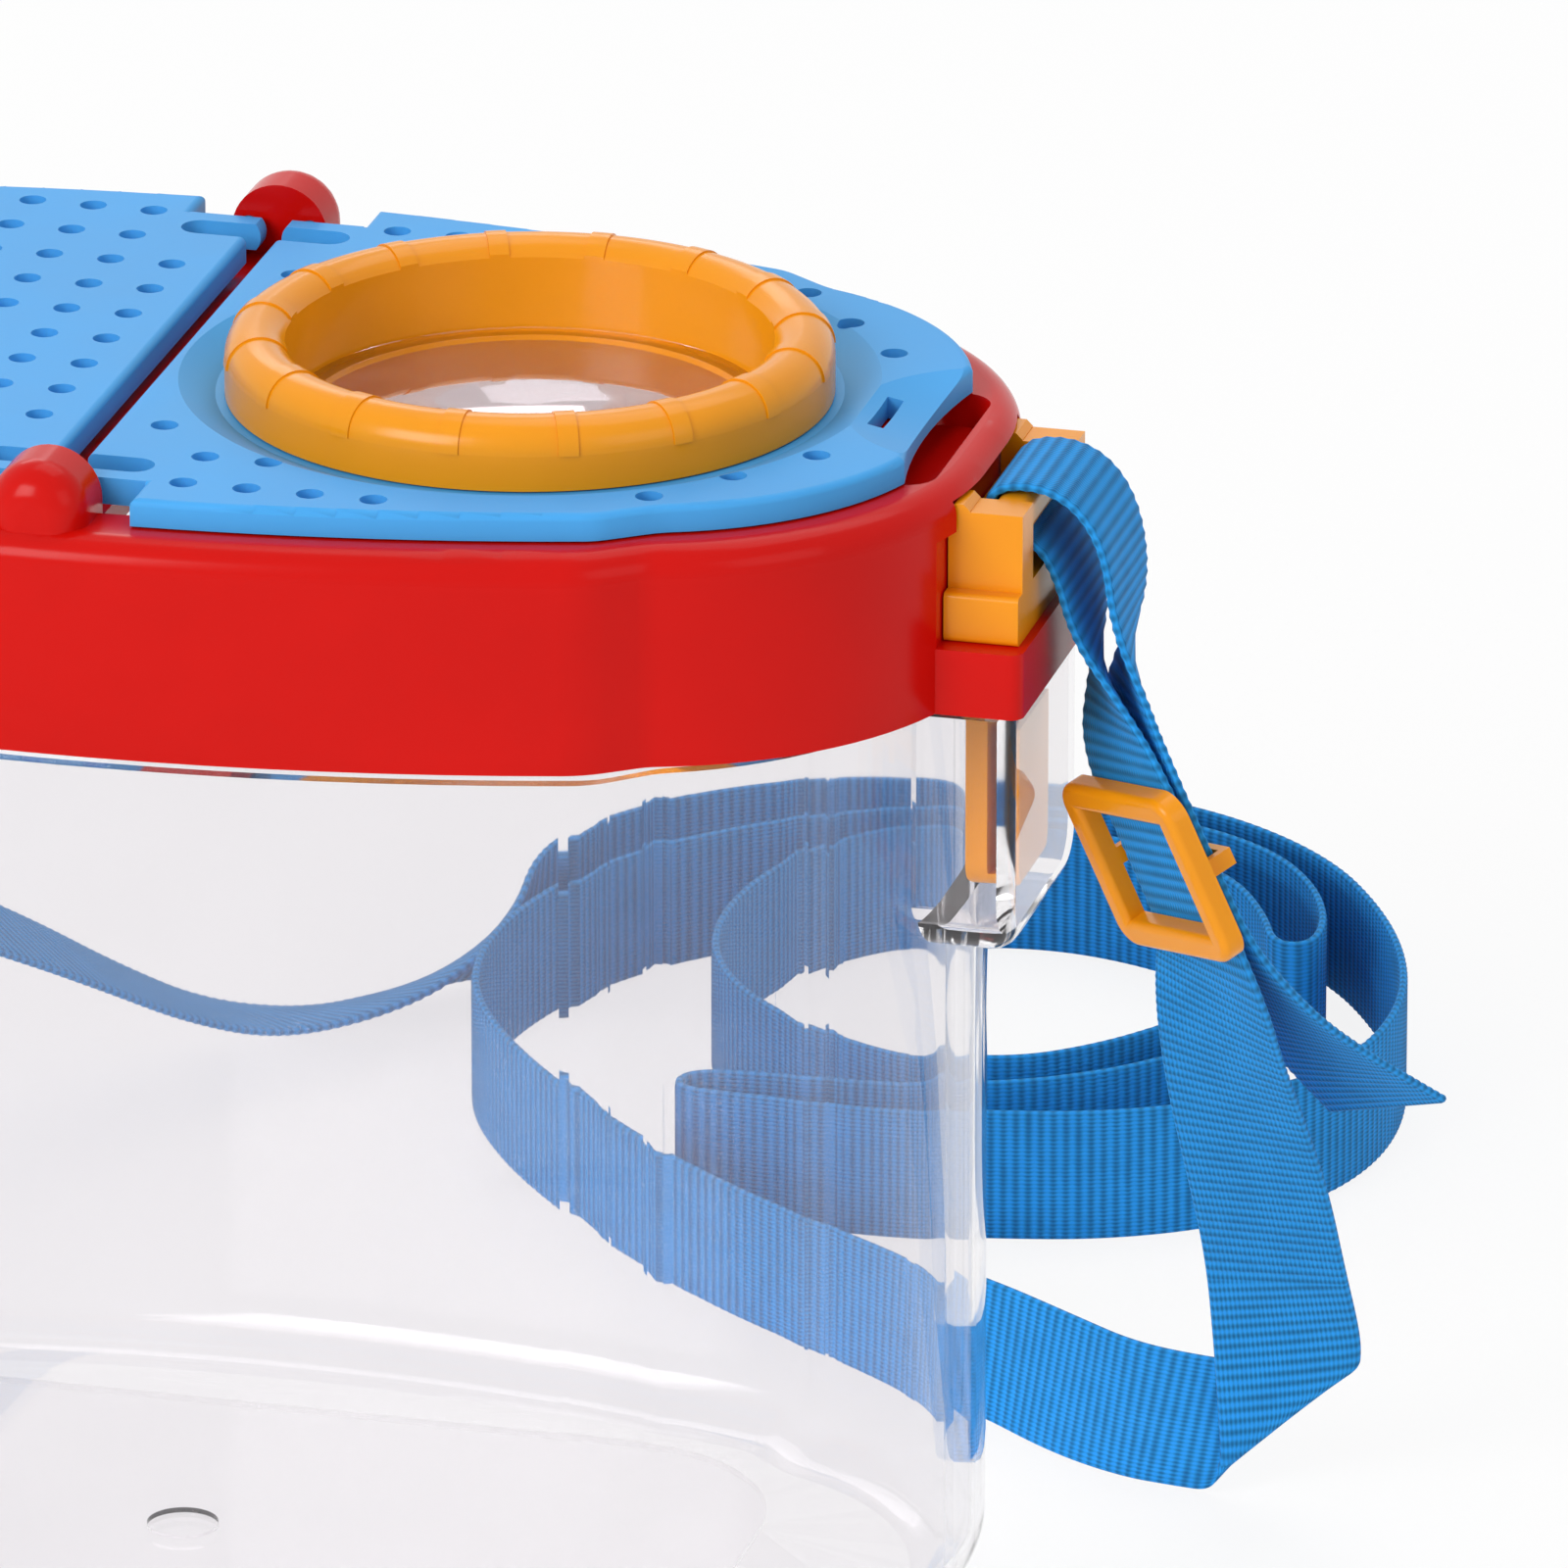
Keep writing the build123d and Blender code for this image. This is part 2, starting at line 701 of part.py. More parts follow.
def beside(out, up, back=0.0):
    """Point measured from the middle of the right clip bar's top."""
    return Vector((clip_bar_inner + clip_bar_outer) / 2 + out, back, clip_top + up)


def wrap_points(first_run, last_run):
    """Strap route in from first_run, round the clip bar and out along last_run."""
    inside = clip_bar_inner - strap_bar_gap - strap_thick / 2
    over = clip_top + strap_top_gap + strap_thick / 2
    under = clip_top - clip_bar_size - strap_top_gap - strap_thick / 2
    arrive = [beside(out, up) for out, up in first_run]
    leave = [beside(out, up) for out, up in last_run]
    return arrive + [Vector(inside, 0, under), Vector(inside, 0, over)] + leave


def rounded(points):
    """Straight runs through the points joined by tangent arcs, and the arcs' radii."""
    edges = []
    radii = []
    start = points[0]
    for before, here, after in zip(points, points[1:], points[2:]):
        arrive = here - before
        leave = after - here
        half_turn = radians(arrive.get_angle(leave)) / 2
        reach = arc_share * min(arrive.length, leave.length)
        radius = reach / tan(half_turn)
        first = here - arrive.normalized() * reach
        last = here + leave.normalized() * reach
        inwards = (leave.normalized() - arrive.normalized()).normalized()
        middle = here + inwards * radius * (1 / cos(half_turn) - 1)
        edges.append(Line(start, first))
        edges.append(ThreePointArc(first, middle, last))
        radii.append(radius)
        start = last
    edges.append(Line(start, points[-1]))
    return Wire(edges), radii


def strip(points, across, name):
    """Webbing swept along the points with its width along across."""
    path, radii = rounded(points)
    plane = Plane(path @ 0, x_dir=across, z_dir=path % 0)
    solid = sweep(plane * Rectangle(strap_width, strap_thick), path=path)
    share = solid.volume / (strap_width * strap_thick * path.length)
    print(name, "length", round(path.length, 1), "volume share", round(share, 4))
    print(name, "least radius", round(min(radii), 1))
    return solid


def ribbon(points, widths, first_heading, last_heading, name):
    """Webbing lofted through the points, each with the direction of its width."""
    between = [after - before for before, after in zip(points, points[2:])]
    headings = [first_heading] + between + [last_heading]
    faces = []
    for point, heading, across in zip(points, headings, widths):
        heading = heading.normalized()
        across = (across - heading * across.dot(heading)).normalized()
        faces.append(Plane(point, x_dir=across, z_dir=heading) * Rectangle(strap_width, strap_thick))
    solid = loft(faces)
    length = Spline(points).length
    share = solid.volume / (strap_width * strap_thick * length)
    print(name, "length", round(length, 1), "volume share", round(share, 4))
    return solid


def straight(start, end, across):
    """Webbing laid straight from start to end."""
    plane = Plane(start, x_dir=across, z_dir=end - start)
    return extrude(plane * Rectangle(strap_width, strap_thick), (end - start).length)


def turned(angle):
    """Direction of the strap's width after its front edge has swung outwards by angle."""
    return Vector(sin(radians(angle)), -cos(radians(angle)), 0)


def slider_frame():
    """Middle of the slider, the way the strap runs in it, its width and its outward side."""
    out, back, up = slider_place
    run = Vector(slider_run).normalized()
    across = turned(slider_turn)
    across = (across - run * across.dot(run)).normalized()
    return beside(out, up, back), run, across, across.cross(run)


def standing(points):
    """Middle line of webbing that stands on its edge on the table."""
    return [Vector(x, y, strap_lift + strap_width / 2) for x, y in points]


def linked(runs):
    """The runs, each one lengthened to the middle of the gap to the next."""
    meets = [[(before[-1] + after[0]) / 2] for before, after in zip(runs, runs[1:])]
    return [start + run + end for start, run, end in zip([[]] + meets, runs, meets + [[]])]


def make_slider():
    """Three-bar slider: end bars on one side of the webbing, middle bar on the other."""
    middle, run, across, outwards = slider_frame()
    half = strap_width / 2 + slider_side_gap + slider_side
    room = (strap_layers * strap_thick + (strap_layers + 1) * strap_gap) / 2
    window = Rectangle(2 * (half - slider_side), slider_length - 2 * slider_bar)
    plate = extrude(RectangleRounded(2 * half, slider_length, slider_corner) - window, slider_front)
    plate = fillet(plate.faces().sort_by(Axis.Z)[-1].edges(), slider_fillet)
    solid = Pos(0, 0, room) * plate
    post_middle = half - slider_side + slider_post / 2
    post = Box(slider_post, slider_centre_bar, 2 * room + slider_back + slider_fillet)
    for side in (1, -1):
        solid += Pos(side * post_middle, 0, (slider_fillet - slider_back) / 2) * post
    bar = Box(2 * post_middle, slider_centre_bar, slider_back)
    solid += Pos(0, 0, -room - slider_back / 2) * bar
    return Plane(middle, x_dir=across, z_dir=-outwards) * solid


def make_strap():
    """All stretches of the strap, from the tail at the slider to the stitched loop at the left."""
    middle, run, across, outwards = slider_frame()
    apart = outwards * (strap_thick + strap_gap) / 2
    top = middle - run * (slider_length / 2 + slider_lead)
    bottom = middle + run * slider_length / 2
    along_y = turned(0)
    upright = Vector(0, 0, 1)

    loop = wrap_points(loop_inner_run, loop_outer_run)
    layers = {}
    ends = (("inner", loop[0], loop[1], -apart), ("outer", loop[-1], loop[-2], apart))
    for side, start, inside, offset in ends:
        name = f"strap_{side}_layer"
        points = [start, (start + top + offset) / 2, top + offset]
        widths = [along_y, turned(slider_turn / 2), across]
        layers[name] = ribbon(points, widths, start - inside, run, name)
        layers[name] += straight(top + offset, bottom + offset, across)

    tail = [bottom + apart] + [beside(out, up, back) for (out, back, up), turn in tail_route]
    tail_widths = [across] + [turned(turn) for place, turn in tail_route]
    band_top = strap_lift + strap_width
    fold_x = beside(fold_out, 0).X
    hanging = [bottom - apart] + [beside(out, up, back) for (out, back, up), turn in hanging_route]
    hanging.append(Vector(fold_x, fold_back, band_top))
    hanging_widths = [across] + [turned(turn) for place, turn in hanging_route] + [turned(90)]
    fold_left = fold_x - strap_width / 2
    fold_right = fold_x + strap_width / 2
    fold_corners = ((fold_left, band_top), (fold_right, band_top), (fold_left, strap_lift))
    fold_face = make_face(Polyline(*fold_corners, close=True))
    fold_depth = strap_layers * strap_thick + strap_gap / 2
    fold_behind = fold_back - strap_thick / 2 + fold_depth

    start = (fold_left, fold_behind - strap_thick / 2)
    runs = [standing(run_points) for run_points in ((start,) + front_run, middle_run, back_run, left_run)]
    names = ("strap_floor_front", "strap_floor_middle", "strap_floor_back", "strap_floor_left")
    table = {name: strip(points, upright, name) for name, points in zip(names, linked(runs))}

    stitched = wrap_points(stitched_inner_run[::-1], stitched_outer_run[::-1])
    stitched = [Vector(-point.X, point.Y, point.Z) for point in stitched]
    table_end = runs[-1][-1]
    climb = [table_end] + [Vector(place) for place, width in climbing_route] + [stitched[-1]]
    climb_widths = [upright] + [Vector(width) for place, width in climbing_route] + [along_y]
    return {
        "strap_right_loop": strip(loop, along_y, "strap_right_loop"),
        **layers,
        "strap_tail": ribbon(tail, tail_widths, run, tail[-1] - tail[-2], "strap_tail"),
        "strap_hanging": ribbon(hanging, hanging_widths, run, -upright, "strap_hanging"),
        "strap_fold": extrude(Plane.XZ.offset(-fold_behind) * fold_face, fold_depth),
        **table,
        "strap_left_climb": ribbon(
            climb, climb_widths, table_end - runs[-1][-2], stitched[-2] - stitched[-1], "strap_left_climb"
        ),
        "strap_left_loop": strip(stitched, along_y, "strap_left_loop"),
        "strap_slider": make_slider(),
    }


nodes = {
    "jar_body": make_jar(),
    "lid_frame": make_frame(),
    "right_door": make_right_door(),
    "left_door": mirror(make_door(lambda x, y: True), about=Plane.YZ),
    "magnifier_ring": make_ring(),
    "magnifier_lens": make_lens(),
    "right_strap_clip": make_clip(),
    "left_strap_clip": mirror(make_clip(), about=Plane.YZ),
}
nodes.update(make_strap())

os.makedirs("parts", exist_ok=True)
for name, solid in nodes.items():
    box = solid.bounding_box()
    low = tuple(round(v, 1) for v in box.min)
    high = tuple(round(v, 1) for v in box.max)
    print(name, "solids", len(solid.solids()), "volume", round(solid.volume), "low", low, "high", high)
    export_step(solid, f"parts/{name}.step")
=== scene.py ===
"""Dressed bug catcher jar: finishes, webbing strap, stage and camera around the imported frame."""
import math

import bpy
import numpy as np
from bpy.props import FloatProperty, FloatVectorProperty, PointerProperty
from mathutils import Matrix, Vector


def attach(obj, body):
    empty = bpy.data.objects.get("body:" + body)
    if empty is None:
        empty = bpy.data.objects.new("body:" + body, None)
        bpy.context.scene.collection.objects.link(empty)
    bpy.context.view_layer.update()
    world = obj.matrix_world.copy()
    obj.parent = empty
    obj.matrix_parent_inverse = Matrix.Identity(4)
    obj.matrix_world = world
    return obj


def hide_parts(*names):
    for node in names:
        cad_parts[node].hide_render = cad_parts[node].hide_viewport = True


bl_info = {
    "name": "Bug catcher jar",
    "version": (1, 0, 0),
    "blender": (4, 5, 0),
    "location": "View3D > Sidebar > Bug jar",
    "description": "Finishes, webbing strap and stage for a bug catcher jar",
    "category": "Object",
}

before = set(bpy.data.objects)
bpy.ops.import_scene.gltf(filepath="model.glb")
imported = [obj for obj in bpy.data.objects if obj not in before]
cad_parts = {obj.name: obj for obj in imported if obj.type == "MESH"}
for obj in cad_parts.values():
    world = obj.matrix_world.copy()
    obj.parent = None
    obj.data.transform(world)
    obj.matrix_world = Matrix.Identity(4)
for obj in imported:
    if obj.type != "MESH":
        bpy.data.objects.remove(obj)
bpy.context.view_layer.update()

# Nodes by finish
clear_nodes = ("jar_body",)
lens_nodes = ("magnifier_lens",)
red_nodes = ("lid_frame",)
blue_nodes = ("left_door", "right_door")
yellow_nodes = ("magnifier_ring", "left_strap_clip", "right_strap_clip", "strap_slider")
strap_nodes = (
    "strap_right_loop",
    "strap_inner_layer",
    "strap_outer_layer",
    "strap_tail",
    "strap_hanging",
    "strap_fold",
    "strap_floor_front",
    "strap_floor_middle",
    "strap_floor_back",
    "strap_floor_left",
    "strap_left_climb",
    "strap_left_loop",
)

# Strap route in metres from the stitched end at the left clip to the free tail
# Each entry has a point of the middle line and the way to one edge, as a share of half the width
up = (0.0, 0.0, 1.0)
to_front = (0.0, -1.0, 0.0)
to_right = (1.0, 0.0, 0.0)
in_slider = (0.70, -0.68, 0.21)
left_route = (
    ((-0.1022, 0.0, 0.1120), to_front),
    ((-0.1019, 0.0, 0.1248), to_front),
    ((-0.0986, 0.0, 0.1301), to_front),
    ((-0.09355, 0.0, 0.1301), to_front),
    ((-0.09355, 0.0, 0.1359), to_front),
    ((-0.1014, 0.0, 0.1360), to_front),
    ((-0.1042, 0.0, 0.1250), to_front),
    ((-0.1036, 0.0, 0.1100), to_front),
    ((-0.1050, 0.0135, 0.0935), (0.30, -0.94, -0.10)),
    ((-0.0995, 0.0300, 0.0795), (0.62, -0.75, -0.20)),
    ((-0.0860, 0.0500, 0.0645), (0.72, -0.64, -0.25)),
    ((-0.0680, 0.0730, 0.0470), (0.73, -0.62, -0.28)),
    ((-0.0530, 0.0985, 0.0315), (0.74, -0.61, -0.28)),
    ((-0.0465, 0.1115, 0.0230), (0.77, -0.58, -0.25)),
    ((-0.0405, 0.1245, 0.0140), (0.80, -0.55, -0.18)),
    ((-0.0330, 0.1365, 0.0066), (0.80, -0.59, 0.02)),
    ((-0.0235, 0.1465, 0.0044), (0.77, -0.58, 0.27)),
    ((-0.0160, 0.1555, 0.0052), (0.76, -0.50, 0.42)),
    ((-0.0105, 0.1655, 0.0072), (0.60, -0.32, 0.72)),
)
# Stretch that stands on its edge on the table, (right, back)
table_height = 0.0084
table_route = (
    (-0.0070, 0.1755),
    (-0.0020, 0.1880),
    (0.0085, 0.2000),
    (0.0235, 0.2085),
    (0.0405, 0.2120),
    (0.0580, 0.2110),
    (0.0730, 0.2055),
    (0.0860, 0.1950),
    (0.0950, 0.1810),
    (0.1010, 0.1670),
    (0.1040, 0.1530),
    (0.1035, 0.1390),
    (0.0990, 0.1265),
    (0.0900, 0.1165),
    (0.0785, 0.1100),
    (0.0660, 0.1070),
    (0.0520, 0.1050),
    (0.0370, 0.1055),
    (0.0285, 0.1060),
    (0.0290, 0.1115),
    (0.0370, 0.1125),
    (0.0495, 0.1130),
    (0.0620, 0.1150),
    (0.0730, 0.1205),
    (0.0815, 0.1285),
    (0.0875, 0.1375),
    (0.0915, 0.1460),
    (0.0895, 0.1510),
    (0.0855, 0.1490),
    (0.0800, 0.1400),
    (0.0730, 0.1305),
    (0.0640, 0.1235),
    (0.0520, 0.1230),
    (0.0390, 0.1285),
    (0.0280, 0.1380),
    (0.0215, 0.1500),
    (0.0200, 0.1630),
    (0.0220, 0.1760),
    (0.0280, 0.1875),
    (0.0385, 0.1955),
    (0.0520, 0.1980),
    (0.0660, 0.1940),
    (0.0760, 0.1865),
    (0.0820, 0.1760),
    (0.0850, 0.1675),
    (0.0895, 0.1680),
    (0.0895, 0.1760),
    (0.0855, 0.1870),
    (0.0780, 0.1970),
    (0.0660, 0.2035),
    (0.0495, 0.2050),
    (0.0330, 0.2000),
    (0.0185, 0.1920),
    (0.0075, 0.1815),
    (0.0000, 0.1695),
    (-0.0040, 0.1565),
    (-0.0050, 0.1430),
    (-0.0025, 0.1300),
    (0.0045, 0.1170),
    (0.0160, 0.1025),
    (0.0300, 0.0885),
    (0.0420, 0.0785),
    (0.0550, 0.0700),
)
right_route = (
    ((0.0770, 0.0575, 0.0083), (0.07, 0.12, 0.99)),
    ((0.0885, 0.0492, 0.0081), (0.13, 0.22, 0.965)),
    ((0.0975, 0.0434, 0.0083), (0.10, 0.10, 0.985)),
    ((0.1055, 0.0415, 0.0084), (0.28, 0.0, 1.0)),
    ((0.1124, 0.0410, 0.0084), (0.56, 0.0, 1.0)),
    ((0.1168, 0.0404, 0.0104), (0.98, 0.0, 0.80)),
    ((0.1170, 0.0393, 0.0155), (1.02, 0.0, 0.58)),
    ((0.1168, 0.0378, 0.0220), (1.03, 0.0, 0.25)),
    ((0.1167, 0.0330, 0.0319), to_right),
    ((0.1165, 0.0250, 0.0445), to_right),
    ((0.1158, 0.0170, 0.0568), (0.99, -0.10, -0.06)),
    ((0.1157, 0.0090, 0.0680), (0.95, -0.24, -0.20)),
    ((0.1162, 0.0030, 0.0772), (0.88, -0.40, -0.25)),
    ((0.11613, -0.00164, 0.0835), in_slider),
    ((0.11234, -0.00267, 0.0929), in_slider),
    ((0.10734, -0.00400, 0.10505), in_slider),
    ((0.10527, -0.0020, 0.1120), (0.42, -0.90, 0.10)),
    ((0.1032, 0.0, 0.1190), to_front),
    ((0.1010, 0.0, 0.1268), to_front),
    ((0.0984, 0.0, 0.1301), to_front),
    ((0.09355, 0.0, 0.1301), to_front),
    ((0.09355, 0.0, 0.1359), to_front),
    ((0.1012, 0.0, 0.1361), to_front),
    ((0.1062, 0.0, 0.1307), to_front),
    ((0.1076, 0.0, 0.1205), to_front),
    ((0.10787, -0.00153, 0.1130), (0.42, -0.90, 0.04)),
    ((0.10813, -0.00306, 0.10547), in_slider),
    ((0.11309, -0.00173, 0.09331), in_slider),
    ((0.11692, -0.00070, 0.08392), in_slider),
    ((0.1195, 0.0065, 0.0760), (0.87, -0.47, -0.08)),
    ((0.1235, 0.0155, 0.0665), (0.90, -0.43, 0.05)),
    ((0.1301, 0.0291, 0.0539), (0.90, -0.30, 0.28)),
)
strap_route = left_route + tuple(((x, y, table_height), up) for x, y in table_route) + right_route
spline_steps = 30
section_spacing = 0.00036
rib_depth = 0.3
fold_stretch = 1.01
edge_points = 5
face_points = 7

# Moulded plastic: roughness, glow inside and shine of each colour, then grain and depth of light
red_surface = (0.2, 0.03, 0.14)
blue_surface = (0.36, 0.03, 0.1)
yellow_surface = (0.2, 0.06, 0.28)
flow_grain = 45.0
flow_lighter = 1.04
flow_darker = 0.95
skin_grain = 1400.0
skin_strength = 0.05
skin_height = 0.0001
plastic_bending = 1.49
glow_radius = (0.004, 0.002, 0.001)

# Clear plastic: roughness, haze, bending of light and shine
jar_surface = (0.03, 0.02, 1.1, 1.27)
lens_surface = (0.01, 0.0, 1.2, 2.1)
lens_tint = (0.98, 0.93, 0.99)
wobble_grain = 30.0
wobble_strength = 0.06
wobble_height = 0.001
wobble_tint = 0.985
shadow_tint = 0.97

# Webbing: painted shade in the grooves and painted highlight on the rib crowns, threads and sheen
groove_painted_shade = 0.4
crown_painted_highlight = 1.15
crown_highlight_share = 0.7
thread_share = 0.35
thread_wander = 0.6
thread_strength = 0.35
thread_height = 0.00012
patch_grain = 220.0
webbing_roughness = 0.75
webbing_shine = 0.2
webbing_sheen = 0.05
sheen_roughness = 0.4

# Stage: floor, light from all round, and lamps as name, place, aim, width, height and power
floor_side = 30.0
floor_grey = 0.9
floor_white_share = 0.86
ambient = 0.55
jar_middle = (0.0, 0.0, 0.1)
lens_middle = (0.04, 0.0, 0.14)
lamps = (
    ("key_lamp", (-0.75, -1.5, 0.95), jar_middle, 0.9, 0.9, 20.0),
    ("fill_lamp", (1.5, -0.9, 0.9), jar_middle, 1.0, 1.0, 3.0),
    ("top_lamp", (0.2, 0.7, 1.7), jar_middle, 1.2, 1.2, 7.0),
    ("lens_lamp", (-0.58, 1.22, 0.96), lens_middle, 0.7, 0.45, 2.2),
)

# Photograph's view: middle of the picture, camera angles and scale
view_middle = (0.069032, 0.0, 0.096491)
view_azimuth = 14.598
view_elevation = 20.887
view_distance = 2.0
pixels_per_metre = 9407.0
picture_side = 1600.0
sensor_width = 36.0
view_reach = 50.0


class JarFinish(bpy.types.PropertyGroup):
    """Colours of the moulded pieces and the strap."""

    red: FloatVectorProperty(
        name="Red", description="Lid frame", subtype="COLOR", default=(0.58, 0.004, 0.002), min=0, max=1
    )
    blue: FloatVectorProperty(
        name="Blue", description="Doors", subtype="COLOR", default=(0.07, 0.37, 0.79), min=0, max=1
    )
    yellow: FloatVectorProperty(
        name="Yellow",
        description="Ring, clips and slider",
        subtype="COLOR",
        default=(0.83, 0.30, 0.005),
        min=0,
        max=1,
    )
    clear: FloatVectorProperty(
        name="Clear",
        description="Tint of the jar",
        subtype="COLOR",
        default=(0.927, 0.914, 0.927),
        min=0,
        max=1,
    )
    webbing: FloatVectorProperty(
        name="Webbing", description="Strap", subtype="COLOR", default=(0.017, 0.28, 0.70), min=0, max=1
    )


class JarStrap(bpy.types.PropertyGroup):
    """Sizes of the webbing."""

    width: FloatProperty(name="Width", description="Width of the webbing", default=0.016, unit="LENGTH")
    thickness: FloatProperty(name="Thickness", description="Over the ribs", default=0.0011, unit="LENGTH")
    rib_pitch: FloatProperty(name="Rib pitch", description="Rib to rib", default=0.00144, unit="LENGTH")


class Nodes:
    """A material's node tree with short calls for adding and linking nodes."""

    def __init__(self, name):
        self.material = bpy.data.materials.new(name)
        self.material.use_nodes = True
        self.tree = self.material.node_tree
        self.shader = self.tree.nodes["Principled BSDF"]

    def add(self, kind, **values):
        node = self.tree.nodes.new(kind)
        for name, value in values.items():
            setattr(node, name, value)
        return node

    def link(self, source, target):
        self.tree.links.new(source, target)

    def noise(self, where, scale, detail=2.0):
        node = self.add("ShaderNodeTexNoise")
        node.inputs["Scale"].default_value = scale
        node.inputs["Detail"].default_value = detail
        self.link(where, node.inputs["Vector"])
        return node.outputs["Fac"]

    def spread(self, value, low, high):
        """The value's middle range spread from low to high."""
        node = self.add("ShaderNodeMapRange")
        node.inputs["From Min"].default_value = 0.3
        node.inputs["From Max"].default_value = 0.7
        node.inputs["To Min"].default_value = low
        node.inputs["To Max"].default_value = high
        self.link(value, node.inputs["Value"])
        return node.outputs["Result"]

    def blend(self, factor, first, second):
        """Colour mixed from first to second."""
        node = self.add("ShaderNodeMix", data_type="RGBA")
        node.inputs["A"].default_value = (*first, 1.0)
        node.inputs["B"].default_value = (*second, 1.0)
        self.link(factor, node.inputs["Factor"])
        return node.outputs["Result"]

    def bump(self, height, strength, distance):
        node = self.add("ShaderNodeBump")
        node.inputs["Strength"].default_value = strength
        node.inputs["Distance"].default_value = distance
        self.link(height, node.inputs["Height"])
        self.link(node.outputs["Normal"], self.shader.inputs["Normal"])


def shaded(colour, share):
    """The colour made lighter or darker by a share."""
    return tuple(min(1.0, c * share) for c in colour)


def moulded_plastic(name, colour, roughness, glow, shine):
    """Glossy moulded plastic with faint flow marks, fine skin and a little light inside."""
    nodes = Nodes(name)
    where = nodes.add("ShaderNodeTexCoord").outputs["Object"]
    flow = nodes.noise(where, flow_grain, 3.0)
    skin = nodes.noise(where, skin_grain)
    dark, light = shaded(colour, flow_darker), shaded(colour, flow_lighter)
    tint = nodes.blend(nodes.spread(flow, 0.0, 1.0), dark, light)
    nodes.link(tint, nodes.shader.inputs["Base Color"])
    nodes.link(nodes.spread(flow, roughness - 0.03, roughness + 0.04), nodes.shader.inputs["Roughness"])
    nodes.bump(skin, skin_strength, skin_height)
    nodes.shader.inputs["IOR"].default_value = plastic_bending
    nodes.shader.inputs["Specular IOR Level"].default_value = shine
    nodes.shader.inputs["Subsurface Weight"].default_value = glow
    nodes.shader.inputs["Subsurface Radius"].default_value = glow_radius
    nodes.shader.inputs["Subsurface Scale"].default_value = 1.0
    return nodes.material


def clear_plastic(name, colour, roughness, haze, bending, shine):
    """Clear moulded plastic whose walls wobble a little, are faintly milky and let the lamps through."""
    nodes = Nodes(name)
    where = nodes.add("ShaderNodeTexCoord").outputs["Object"]
    wobble = nodes.noise(where, wobble_grain, 1.0)
    tint = nodes.blend(nodes.spread(wobble, 0.0, 1.0), shaded(colour, wobble_tint), colour)
    nodes.link(tint, nodes.shader.inputs["Base Color"])
    nodes.link(nodes.spread(wobble, roughness * 0.6, roughness * 1.4), nodes.shader.inputs["Roughness"])
    nodes.bump(wobble, wobble_strength, wobble_height)
    nodes.shader.inputs["Transmission Weight"].default_value = 1.0 - haze
    nodes.shader.inputs["IOR"].default_value = bending
    nodes.shader.inputs["Coat Weight"].default_value = 1.0
    nodes.shader.inputs["Coat IOR"].default_value = shine
    passing = nodes.add("ShaderNodeBsdfTransparent")
    passing.inputs["Color"].default_value = (*shaded(colour, shadow_tint), 1.0)
    choice = nodes.add("ShaderNodeMixShader")
    nodes.link(nodes.add("ShaderNodeLightPath").outputs["Is Shadow Ray"], choice.inputs["Fac"])
    nodes.link(nodes.shader.outputs["BSDF"], choice.inputs[1])
    nodes.link(passing.outputs["BSDF"], choice.inputs[2])
    nodes.link(choice.outputs["Shader"], nodes.tree.nodes["Material Output"].inputs["Surface"])
    return nodes.material


def webbing_cloth(name, colour, pitch):
    """Ribbed webbing: painted highlight on the rib crowns, painted shade in the grooves and threads across
    each rib.
    """
    nodes = Nodes(name)
    where = nodes.add("ShaderNodeTexCoord").outputs["UV"]
    ribs = nodes.add("ShaderNodeTexWave", wave_type="BANDS", bands_direction="X")
    ribs.inputs["Scale"].default_value = math.pi / 10.0 / pitch
    nodes.link(where, ribs.inputs["Vector"])
    threads = nodes.add("ShaderNodeTexWave", wave_type="BANDS", bands_direction="Y")
    threads.inputs["Scale"].default_value = math.pi / 10.0 / (pitch * thread_share)
    threads.inputs["Distortion"].default_value = thread_wander
    nodes.link(where, threads.inputs["Vector"])
    patches = nodes.noise(where, patch_grain, 3.0)
    tone = nodes.add("ShaderNodeMath", operation="MULTIPLY")
    nodes.link(threads.outputs["Fac"], tone.inputs[0])
    nodes.link(patches, tone.inputs[1])
    # Painted light: rib crowns are painted brighter and grooves painted darker, with the thread pattern
    # added on top
    rib_light_factor = nodes.add("ShaderNodeMath", operation="MULTIPLY_ADD")
    nodes.link(ribs.outputs["Fac"], rib_light_factor.inputs[0])
    rib_light_factor.inputs[1].default_value = crown_highlight_share
    nodes.link(tone.outputs[0], rib_light_factor.inputs[2])
    # Base colour runs from painted groove shade to painted crown highlight
    tint = nodes.blend(rib_light_factor.outputs[0], shaded(colour, groove_painted_shade), shaded(colour, crown_painted_highlight))
    nodes.link(tint, nodes.shader.inputs["Base Color"])
    nodes.bump(threads.outputs["Fac"], thread_strength, thread_height)
    nodes.shader.inputs["Roughness"].default_value = webbing_roughness
    nodes.shader.inputs["Specular IOR Level"].default_value = webbing_shine
    nodes.shader.inputs["Sheen Weight"].default_value = webbing_sheen
    nodes.shader.inputs["Sheen Roughness"].default_value = sheen_roughness
    return nodes.material


def dress(node, material):
    """The material on every slot of a CAD node."""
    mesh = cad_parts[node].data
    mesh.materials.clear()
    mesh.materials.append(material)


